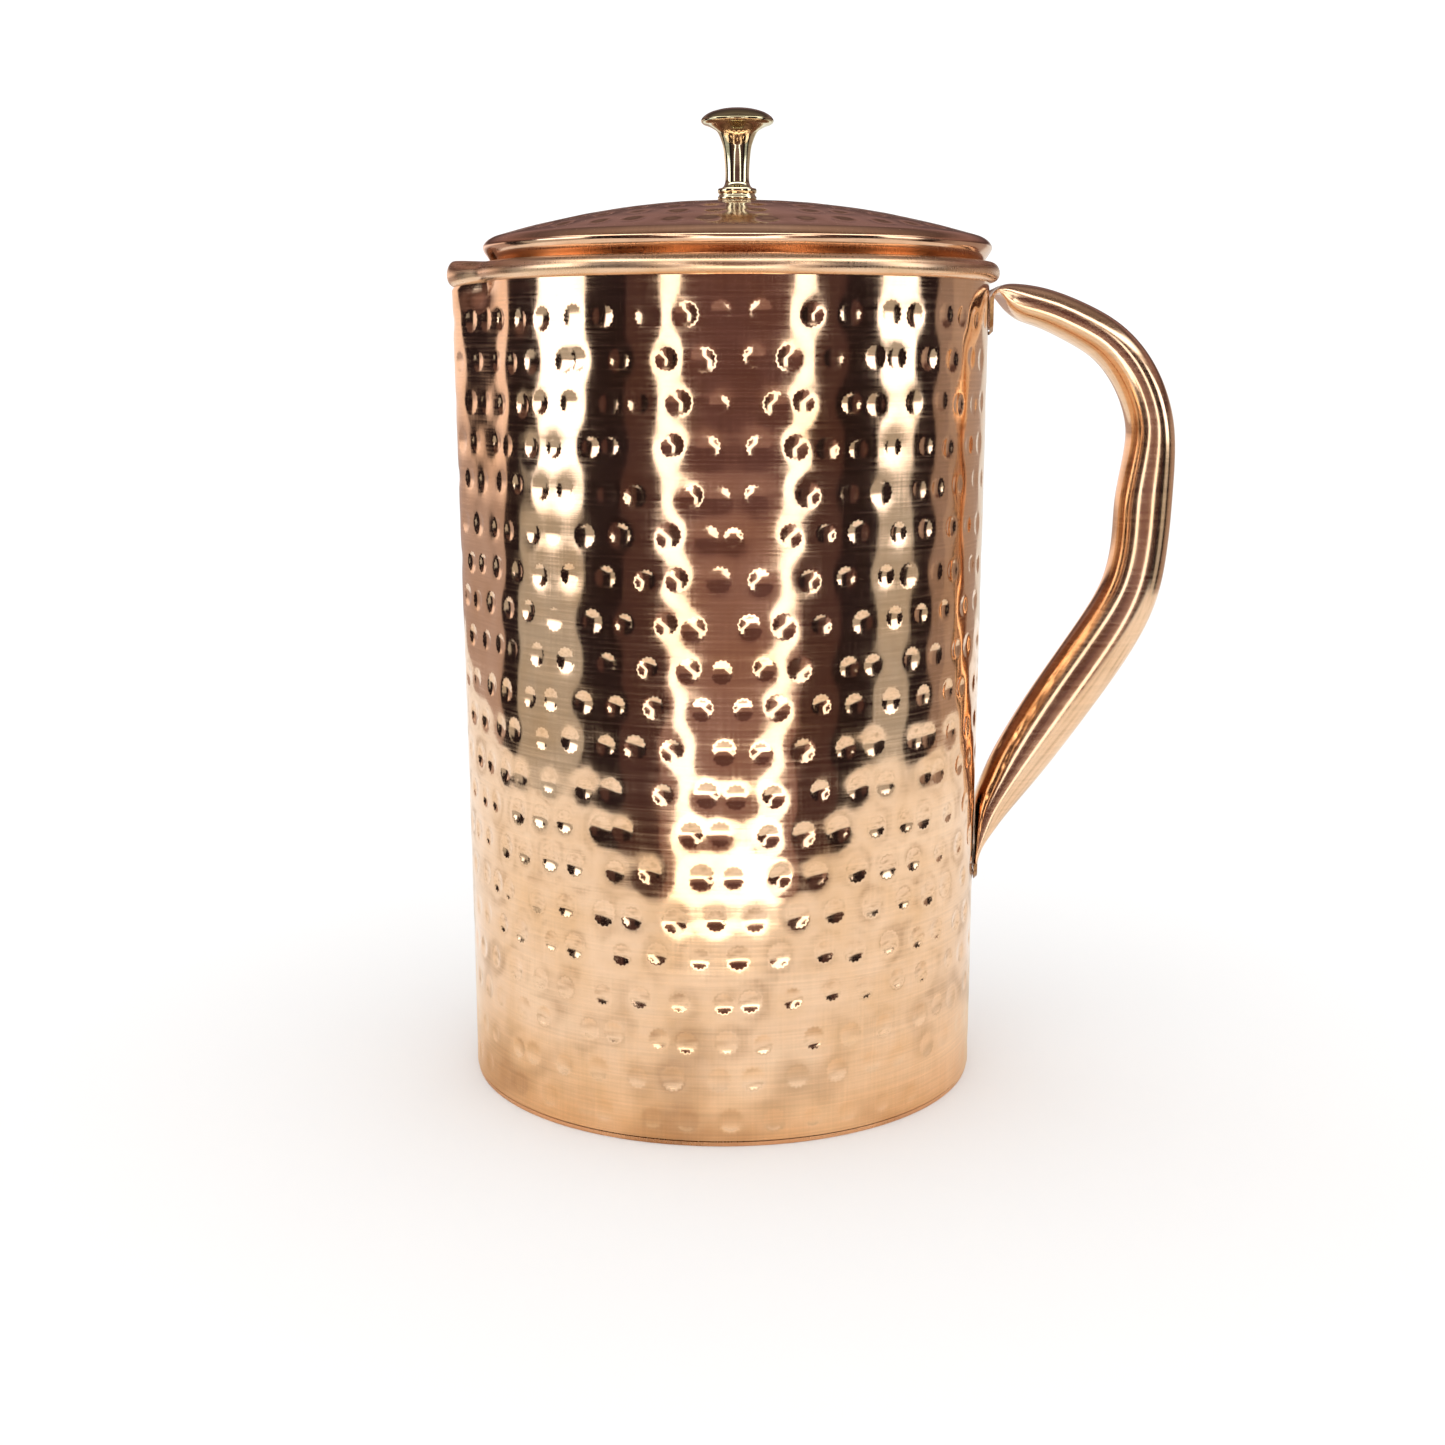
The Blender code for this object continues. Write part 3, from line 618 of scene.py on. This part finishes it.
def make_knob():
    """The turned knob: a low cap, a slim stem that flares into it, and a stepped foot."""
    base, top = knob_low.z, knob_high.z
    radius = (knob_high.x - knob_low.x) / 2
    flare = radius - STEM_RADIUS
    # Shares of the cap's radius, and how far each lies below the top.
    cap = [(0, 0), (0.25, 0.00008), (0.48, 0.00035), (0.75, 0.0010), (0.93, 0.0019)]
    cap += [(1.0, 0.0028), (0.94, 0.0035), (0.80, 0.0039)]
    # Shares of the flare between stem and cap, in the same way.
    neck = [(0.48, 0.0045), (0.32, 0.0052), (0.16, 0.0071), (0.065, 0.0091), (0.0, 0.0131)]
    line = [(share * radius, top - drop) for share, drop in cap]
    line += [(STEM_RADIUS + share * flare, top - drop) for share, drop in neck]
    line += [(STEM_RADIUS, base + 0.0040), (STEM_RADIUS + 0.0003, base + 0.0030)]
    profile = smooth_line(line, 5)
    # The foot has two beads with a groove between them, and a bore for the screw.
    profile += [
        (STEM_RADIUS + 0.0007, base + 0.0026),
        (KNOB_FOOT_RADIUS - 0.0005, base + 0.0025),
        (KNOB_FOOT_RADIUS - 0.0001, base + 0.0024),
        (KNOB_FOOT_RADIUS, base + 0.0021),
        (KNOB_FOOT_RADIUS, base + 0.0016),
        (KNOB_FOOT_RADIUS - 0.0003, base + 0.0013),
        (KNOB_FOOT_RADIUS - 0.0003, base + 0.0009),
        (KNOB_FOOT_RADIUS, base + 0.0006),
        (KNOB_FOOT_RADIUS, base + 0.0001),
        (KNOB_FOOT_RADIUS - 0.0001, base),
        (LID_BORE, base),
        (LID_BORE, base + 0.0073),
        (0, base + 0.0081),
    ]
    return turned_piece("turned_knob", profile, 96, MOUTH_X)


def make_collar():
    """The straight collar under the lid, with a rounded lower edge."""
    outer = (collar_high.x - collar_low.x) / 2
    inner = outer - SHEET
    low = collar_low.z
    flange = outer - 0.0045

    def under(radius, gap):
        return float(dome_height(radius)) - LID_SHEET - gap

    outline = [(outer, under(outer, 0.0004)), (outer, low + 0.0003), (outer - 0.0001, low + 0.0001)]
    outline += [(outer - 0.0004, low), (inner + 0.0001, low + 0.0001)]
    outline += [(inner, low + 0.0003), (inner, under(inner, 0.0012))]
    outline += [(flange, under(flange, 0.0012)), (flange, under(flange, 0.0004))]
    return turned_piece("seated_collar", outline, 180, MOUTH_X)


def make_base():
    """The base pan: a round plate whose flange stands inside the wall."""
    outer = BASE_RADIUS - BASE_INSET
    flange = BASE_RADIUS - 0.00135
    low = base_low.z
    outline = [(0, low + 0.0006), (0.030, low + 0.0006), (0.050, low + 0.0004), (0.0545, low)]
    outline += [(outer - 0.0004, low), (outer - 0.0001, low + 0.0001), (outer, low + 0.0004)]
    outline += [(outer, low + 0.0010), (flange, low + 0.0010), (flange, base_high.z)]
    outline += [(flange - 0.0008, base_high.z), (flange - 0.0008, low + 0.0022)]
    outline += [(flange - 0.0014, low + 0.0012), (0.052, low + 0.0010), (0, low + 0.0014)]
    return turned_piece("base_pan", outline, 180)


def make_handle():
    """The tube handle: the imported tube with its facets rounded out."""
    any_angle = 3.1
    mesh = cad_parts["handle_tube"].data.copy()
    mesh.materials.clear()
    handle = bpy.data.objects.new("tube_handle", mesh)
    bpy.context.scene.collection.objects.link(handle)
    deselect()
    bpy.context.view_layer.objects.active = handle
    handle.select_set(True)
    bpy.ops.object.mode_set(mode="EDIT")
    bpy.ops.mesh.select_all(action="SELECT")
    bpy.ops.mesh.remove_doubles(threshold=0.00001)
    bpy.ops.mesh.tris_convert_to_quads(face_threshold=any_angle, shape_threshold=any_angle)
    bpy.ops.mesh.normals_make_consistent(inside=False)
    bpy.ops.object.mode_set(mode="OBJECT")
    rounding = handle.modifiers.new("rounding", "SUBSURF")
    rounding.levels = 2
    rounding.render_levels = 2
    bpy.ops.object.modifier_apply(modifier=rounding.name)
    handle.data.shade_smooth()
    return handle


# ---------------------------------------------------------------- finishes

# Real sizes that the patterns are drawn from, in metres.
TARNISH_WIDTH = 0.020
BRUSH_LINE = 1 / 1900  # 0.5 mm apart: real lines are finer, and wouldn't show
BRUSH_LENGTH = 0.025
STROKE_TURN = 1 / 110  # radians round the axis, which is 0.5 mm on the wall
STROKE_LENGTH = 1 / 70
TURNING_LINE = 1 / 2400  # 0.4 mm apart: real ones are finer, and wouldn't show
TURNING_LENGTH = 1 / 30

WALL_TONES = ("#EBC197", "#F2CCA8", "#F6D3B0")
LID_TONES = ("#E4B794", "#EEC4A2", "#F2CCAC")


def brushing_lines(tree, place):
    """Between 0.25 and 1.75: lines round the piece, and fainter strokes up it."""
    level = (1 / BRUSH_LENGTH, 1 / BRUSH_LENGTH, 1 / BRUSH_LINE)
    level_place = add(tree, "Mapping", {"Vector": place, "Scale": level}).outputs[0]
    lines = add(tree, "TexNoise", {"Vector": level_place, "Scale": 1.0, "Detail": 3.0})
    split = add(tree, "SeparateXYZ", {"Vector": place})
    way = {0: split.outputs["Y"], 1: split.outputs["X"]}
    angle = add(tree, "Math", way, operation="ARCTAN2").outputs[0]
    around = add(tree, "CombineXYZ", {"X": angle, "Z": split.outputs["Z"]}).outputs[0]
    upright = (1 / STROKE_TURN, 1.0, 1 / STROKE_LENGTH)
    upright_place = add(tree, "Mapping", {"Vector": around, "Scale": upright}).outputs[0]
    strokes = add(tree, "TexNoise", {"Vector": upright_place, "Scale": 1.0, "Detail": 3.0})
    faint = add(tree, "MapRange", {0: strokes.outputs["Fac"], "To Min": 0.25, "To Max": 0.75})
    both = {0: lines.outputs["Fac"], 1: faint.outputs[0]}
    return add(tree, "Math", both, operation="ADD").outputs[0]


def copper_finish(name, brushing, tones, roughness):
    """Polished copper: a near mirror, warm and pink, with brushing and light tarnish.

    brushing is the height of the lines in metres, and roughness its least and most.
    """
    material, tree, shader = new_material(name)
    place = add(tree, "TexCoord").outputs["Object"]
    # Tarnish: soft patches, a little browner and yellower than clean copper.
    patch = add(
        tree,
        "TexNoise",
        {"Vector": place, "Scale": 1 / TARNISH_WIDTH, "Detail": 4.0, "Roughness": 0.6},
    )
    stops = [(0.35, linear(tones[0])), (0.55, linear(tones[1])), (0.72, linear(tones[2]))]
    colour = ramp(tree, patch.outputs["Fac"], stops)
    lines = brushing_lines(tree, place)
    lighter = add(
        tree,
        "MapRange",
        {0: lines, "From Min": 0.75, "From Max": 1.25, "To Min": 0.89, "To Max": 1.05},
    )
    streaked = add(tree, "VectorMath", {0: colour, "Scale": lighter.outputs[0]}, operation="SCALE")
    tree.links.new(streaked.outputs[0], shader.inputs["Base Color"])
    sharpest, dullest = roughness
    gloss = add(
        tree,
        "MapRange",
        {0: lines, "From Min": 0.75, "From Max": 1.3, "To Min": sharpest, "To Max": dullest},
    )
    tree.links.new(gloss.outputs[0], shader.inputs["Roughness"])
    bump = add(tree, "Bump", {"Height": lines, "Strength": 1.0, "Distance": brushing})
    tree.links.new(bump.outputs["Normal"], shader.inputs["Normal"])
    shader.inputs["Metallic"].default_value = 1.0
    return material


def turned_brass():
    """Turned and polished brass: pale gold, bright, with fine rings where the tool ran."""
    material, tree, shader = new_material("turned_brass")
    place = add(tree, "TexCoord").outputs["Object"]
    size = (1 / TURNING_LENGTH, 1 / TURNING_LENGTH, 1 / TURNING_LINE)
    rings = add(tree, "Mapping", {"Vector": place, "Scale": size}).outputs[0]
    noise = add(tree, "TexNoise", {"Vector": rings, "Scale": 1.0, "Detail": 2.0}).outputs["Fac"]
    clean = ramp(tree, noise, [(0.35, linear("#E6DFBE")), (0.7, linear("#CFC49C"))])
    # The top of the cap is painted darker and browner than the rest: a painted shade, not tarnish.
    height = add(tree, "SeparateXYZ", {"Vector": place}).outputs["Z"]
    cap_starts, cap_ends = knob_high.z - 0.0034, knob_high.z - 0.0016
    on_cap = add(tree, "MapRange", {0: height, "From Min": cap_starts, "From Max": cap_ends})
    cap_painted_shade = {"Fac": on_cap.outputs[0], "Color1": clean, "Color2": linear("#7F7350")}
    colour = add(tree, "MixRGB", cap_painted_shade).outputs[0]
    tree.links.new(colour, shader.inputs["Base Color"])
    bump = add(tree, "Bump", {"Height": noise, "Strength": 1.0, "Distance": 1e-6})
    tree.links.new(bump.outputs["Normal"], shader.inputs["Normal"])
    shader.inputs["Metallic"].default_value = 1.0
    shader.inputs["Roughness"].default_value = 0.06
    return material


def grainy_finish(name, colour, shade, roughness, grain):
    """Metal that was left as it set or was plated: dull, with a fine uneven skin."""
    material, tree, shader = new_material(name)
    place = add(tree, "TexCoord").outputs["Object"]
    size = {"Vector": place, "Scale": 1 / grain, "Detail": 4.0}
    noise = add(tree, "TexNoise", size).outputs["Fac"]
    stops = [(0.35, linear(colour)), (0.7, linear(shade))]
    tree.links.new(ramp(tree, noise, stops), shader.inputs["Base Color"])
    bump = add(tree, "Bump", {"Height": noise, "Strength": 0.6, "Distance": 0.00002})
    tree.links.new(bump.outputs["Normal"], shader.inputs["Normal"])
    shader.inputs["Metallic"].default_value = 1.0
    shader.inputs["Roughness"].default_value = roughness
    return material


# ---------------------------------------------------------------- studio

CARD_STRENGTH = 2.5
WHITE_STRENGTH = 1.12
CARD_EDGE = 0.4  # degrees on each side of the line where two cards meet, softened

DARK = (0.009, 0.006, 0.007)
BROWN = (0.053, 0.028, 0.029)
RUSSET = (0.032, 0.018, 0.018)
WARM = (0.12, 0.075, 0.072)
WINDOW = (1.1, 1.13, 1.2)
GREY = (0.20, 0.20, 0.19)
REAR_LEFT = (0.46, 0.365, 0.32)
REAR_LEFT_LOW = (0.205, 0.16, 0.145)
REAR_RIGHT = (0.18, 0.14, 0.12)
COOL = (0.13, 0.10, 0.09)
PALE = (0.34, 0.33, 0.31)

# The cards that stand round the jug: from and to in degrees, 0 in front and +90 on the
# right, with the colour that the metal sees high up and the one near the table.
STANDING_CARDS = [
    (-180, -126, REAR_LEFT, REAR_LEFT_LOW),
    (-126, -112, DARK, DARK),
    (-112, -99, DARK, GREY),
    (-99, -71, WINDOW, GREY),
    (-71, -50, DARK, DARK),
    (-50, -30, RUSSET, RUSSET),
    (-30, 30, BROWN, WARM),
    (30, 48, RUSSET, RUSSET),
    (48, 67, DARK, DARK),
    (67, 87, WINDOW, GREY),
    (87, 101, DARK, DARK),
    (101, 112, COOL, COOL),
    (112, 150, REAR_RIGHT, REAR_RIGHT),
    (150, 180, PALE, PALE),
]

# What hangs over the jug: shares of the way from level to straight up, with colours.
OVER_THE_BACK = [
    (0.0, (0.13, 0.080, 0.072, 1)),
    (0.13, (0.035, 0.020, 0.018, 1)),
    (0.25, (0.13, 0.080, 0.075, 1)),
    (0.40, (0.05, 0.035, 0.033, 1)),
    (0.58, (0.11, 0.085, 0.08, 1)),
    (0.85, (0.18, 0.15, 0.14, 1)),
    (1.0, (0.10, 0.08, 0.075, 1)),
]
OVER_THE_FRONT = [
    (0.0, (0.058, 0.030, 0.032, 1)),
    (0.25, (0.08, 0.05, 0.05, 1)),
    (0.32, (0.3, 0.27, 0.25, 1)),
    (0.36, (1.5, 1.5, 1.5, 1)),
    (0.43, (1.5, 1.5, 1.5, 1)),
    (0.48, (0.06, 0.045, 0.040, 1)),
    (1.0, (0.10, 0.08, 0.075, 1)),
]


def between(tree, value, start, end):
    """0 where the angle is at start degrees, 1 at end degrees, and even between them."""
    limits = {"From Min": math.radians(start), "From Max": math.radians(end)}
    return add(tree, "MapRange", {0: value, **limits}).outputs[0]


def standing_cards(tree, compass, climb):
    """The cards round the jug, whose colours change just below the table's level."""
    share = between(tree, compass, -180, 180)
    high = []
    low = []
    for start, end, high_colour, low_colour in STANDING_CARDS:
        for edge in (start + CARD_EDGE, end - CARD_EDGE):
            high.append(((edge + 180) / 360, (*high_colour, 1)))
            low.append(((edge + 180) / 360, (*low_colour, 1)))
    colours = {"Color1": ramp(tree, share, low), "Color2": ramp(tree, share, high)}
    lift = between(tree, climb, -3.6, -0.8)
    return add(tree, "MixRGB", {"Fac": lift, **colours}).outputs[0]


def with_uprights(tree, cards, compass, climb):
    """Two bright uprights in front of the jug, which lean in towards the table."""
    apart = add(tree, "Math", {0: compass}, operation="ABSOLUTE")
    reach = add(tree, "Clamp", {0: climb, "Min": math.radians(-14), "Max": 0.0})
    lean = add(tree, "Math", {0: reach.outputs[0], 1: 0.95}, operation="MULTIPLY")
    aside = add(tree, "Math", {0: apart.outputs[0], 1: lean.outputs[0]}, operation="SUBTRACT")
    middle = {0: aside.outputs[0], 1: math.radians(29.5)}
    centre = add(tree, "Math", middle, operation="SUBTRACT")
    off = add(tree, "Math", {0: centre.outputs[0]}, operation="ABSOLUTE").outputs[0]
    strip = between(tree, off, 4.9, 4.3)
    below = between(tree, climb, 24, 16)
    shown = add(tree, "Math", {0: strip, 1: below}, operation="MULTIPLY").outputs[0]
    lit = {"Fac": shown, "Color1": cards, "Color2": (1.0, 1.0, 1.0, 1)}
    return add(tree, "MixRGB", lit).outputs[0]


def with_overhead(tree, cards, back, climb):
    """The dim room overhead, which starts higher up in front of the jug than behind it."""
    share = between(tree, climb, 0, 90)
    forward = add(tree, "MapRange", {0: back, "From Min": -0.25, "From Max": 0.25}).outputs[0]
    over_back = ramp(tree, share, OVER_THE_BACK)
    over_front = ramp(tree, share, OVER_THE_FRONT)
    both = {"Fac": forward, "Color1": over_back, "Color2": over_front}
    room = add(tree, "MixRGB", both).outputs[0]
    limits = {"To Min": math.radians(3), "To Max": math.radians(22)}
    start = add(tree, "MapRange", {0: forward, **limits}).outputs[0]
    past = add(tree, "Math", {0: climb, 1: start}, operation="SUBTRACT").outputs[0]
    joined = {"Fac": between(tree, past, 0, 6), "Color1": cards, "Color2": room}
    return add(tree, "MixRGB", joined).outputs[0]


def make_world():
    """White all round for the eye and the floor; bright and dark cards for the metal."""
    world = bpy.data.worlds.new("studio")
    bpy.context.scene.world = world
    world.use_nodes = True
    # Each ray finds the world by itself, so that metal sees only the cards.
    world.cycles.sampling_method = "NONE"
    tree = world.node_tree
    tree.nodes.clear()
    way = add(tree, "TexCoord").outputs["Generated"]
    axes = add(tree, "SeparateXYZ", {"Vector": way})
    front = add(tree, "Math", {0: axes.outputs["Y"], 1: -1.0}, operation="MULTIPLY").outputs[0]
    sides = {0: axes.outputs["X"], 1: front}
    compass = add(tree, "Math", sides, operation="ARCTAN2").outputs[0]
    climb = add(tree, "Math", {0: axes.outputs["Z"]}, operation="ARCSINE").outputs[0]
    seen = standing_cards(tree, compass, climb)
    seen = with_uprights(tree, seen, compass, climb)
    seen = with_overhead(tree, seen, front, climb)
    cards = add(tree, "Background", {"Color": seen, "Strength": CARD_STRENGTH})
    plain = add(tree, "Background", {"Color": (1, 1, 1, 1), "Strength": WHITE_STRENGTH})
    for_metal = add(tree, "LightPath").outputs["Is Glossy Ray"]
    mixed = add(tree, "MixShader", {0: for_metal, 1: plain.outputs[0], 2: cards.outputs[0]})
    output = add(tree, "OutputWorld")
    tree.links.new(mixed.outputs[0], output.inputs["Surface"])


def card(name, material, left, right, front, back, height):
    """A flat card on the table, from left to right and front to back."""
    deselect()
    bpy.ops.mesh.primitive_plane_add(size=1)
    obj = bpy.context.object
    obj.name = name
    for vertex in obj.data.vertices:
        vertex.co.x = left if vertex.co.x < 0 else right
        vertex.co.y = front if vertex.co.y < 0 else back
        vertex.co.z = height
    obj.data.materials.append(material)
    return obj


def seen_only_by_metal(obj):
    obj.visible_camera = False
    obj.visible_diffuse = False
    obj.visible_shadow = False


def white_paper():
    """Matt white paper: it takes the soft shadow, and shows no shine."""
    paper, _, shader = new_material("white_paper")
    shader.inputs["Base Color"].default_value = (0.96, 0.96, 0.96, 1)
    shader.inputs["Roughness"].default_value = 0.7
    shader.inputs["Specular IOR Level"].default_value = 0.0
    return paper


def pale_table_top():
    """Worn pale paint, which gives the low part of the wall its even, peach shine."""
    smudge_width = 0.050
    top, tree, shader = new_material("pale_table_top")
    place = add(tree, "TexCoord").outputs["Object"]
    # Soft smudges, which let the dents low on the wall show.
    size = {"Vector": place, "Scale": 1 / smudge_width, "Detail": 2.0}
    smudge = add(tree, "TexNoise", size).outputs["Fac"]
    stops = [(0.3, (0.62, 0.56, 0.50, 1)), (0.5, (0.96, 0.95, 0.92, 1)), (0.7, (1, 1, 1, 1))]
    tone = ramp(tree, smudge, stops)
    # Close to the jug it is darker and more orange: a painted shadow and a painted reflection of
    # the copper.
    away = add(tree, "VectorMath", {0: place}, operation="LENGTH").outputs["Value"]
    stops = [
        (BASE_RADIUS, (0.93, 0.78, 0.61, 1)),
        (BASE_RADIUS + 0.018, (1.0, 0.93, 0.82, 1)),
        (BASE_RADIUS + 0.055, (1, 1, 1, 1)),
    ]
    near = ramp(tree, away, stops)
    shaded = add(tree, "VectorMath", {0: tone, 1: near}, operation="MULTIPLY")
    tree.links.new(shaded.outputs[0], shader.inputs["Base Color"])
    shader.inputs["Roughness"].default_value = 1.0
    shader.inputs["Specular IOR Level"].default_value = 0.0
    return top


def lit_sill():
    """A lamp's warm white diffuser: the bright tongue in the middle of the wall."""
    glow, _, shader = new_material("lit_sill")
    shader.inputs["Emission Color"].default_value = (1, 0.97, 0.9, 1)
    shader.inputs["Emission Strength"].default_value = 2.4
    return glow


def make_studio():
    """The white floor that is seen, and the table that only the metal sees."""
    just_above = 0.0001
    floor = card("floor", white_paper(), -6.0, 6.0, -6.0, 6.0, 0.0)
    floor.visible_glossy = False
    table = card("table_top", pale_table_top(), -0.43, 0.43, -0.24, 0.7, just_above)
    seen_only_by_metal(table)
    sill = card("bright_sill", lit_sill(), -0.105, 0.105, -0.385, -0.24, just_above)
    seen_only_by_metal(sill)
    make_world()


def make_camera():
    camera = bpy.data.objects.new("camera", bpy.data.cameras.new("camera"))
    camera.data.lens = 48.48
    camera.data.sensor_width = 36.0
    camera.location = (0.0, -0.4501, 0.167)
    camera.rotation_euler = (math.radians(79.19), 0.0, 0.0)
    bpy.context.scene.collection.objects.link(camera)
    bpy.context.scene.camera = camera


# ---------------------------------------------------------------- putting it together

# Hammered sheet, brushed round and polished: sharp reflections, drawn out a little.
wall_copper = copper_finish("brushed_copper_wall", 3.0e-6, WALL_TONES, (0.05, 0.17))
# The rolled edge, burnished with a steel: softer and more even than the wall.
rim_copper = copper_finish("burnished_copper_rim", 1.0e-6, WALL_TONES, (0.22, 0.36))
# The spun lid, a little redder and less polished than the wall.
lid_copper = copper_finish("spun_copper_lid", 1.0e-6, LID_TONES, (0.09, 0.2))
# The drawn tube, worn smooth by the hand: long clean reflections.
handle_copper = copper_finish("drawn_copper_tube", 0.5e-6, WALL_TONES, (0.11, 0.22))
# Sheet as it came from the mill, inside and underneath: satin.
inner_copper = copper_finish("plain_copper_sheet", 2.0e-6, LID_TONES, (0.2, 0.38))
# Brazing alloy as it set: dull brownish gold. Plated steel: plain grey, a little cloudy.
braze = grainy_finish("brazing_alloy", "#B98C5A", "#8F6440", 0.35, 0.0008)
steel = grainy_finish("plated_steel", "#B9B9B8", "#94948F", 0.28, 0.0012)

dress(make_wall(), wall_copper, "jug", "copper_polished", "body_shell")
dress(make_rim(), rim_copper, "jug", "copper_polished", "body_shell")
dress(make_base(), inner_copper, "jug", "copper_inner", "base_plate")
dress(make_handle(), handle_copper, "jug", "copper_polished", "handle_tube")
dress(make_lid(), lid_copper, "lid", "copper_polished", "lid_dome")
dress(make_collar(), inner_copper, "lid", "copper_inner", "lid_collar")
dress(make_knob(), turned_brass(), "lid", "brass_turned", "knob")

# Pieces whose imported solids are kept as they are, and only get a finish.
CARRIED = {
    "rim_wire": (steel, "steel_plain"),
    "base_braze": (braze, "brazing_metal"),
    "handle_braze_upper": (braze, "brazing_metal"),
    "handle_braze_lower": (braze, "brazing_metal"),
    "lid_collar_braze": (braze, "brazing_metal"),
    "knob_washer": (steel, "steel_plain"),
    "knob_screw": (steel, "steel_plain"),
}
for name, (finish, slot_name) in CARRIED.items():
    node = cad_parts[name]
    node.data.materials.clear()
    node.data.materials.append(finish)

make_studio()
make_camera()
bpy.context.scene.view_settings.view_transform = "Standard"
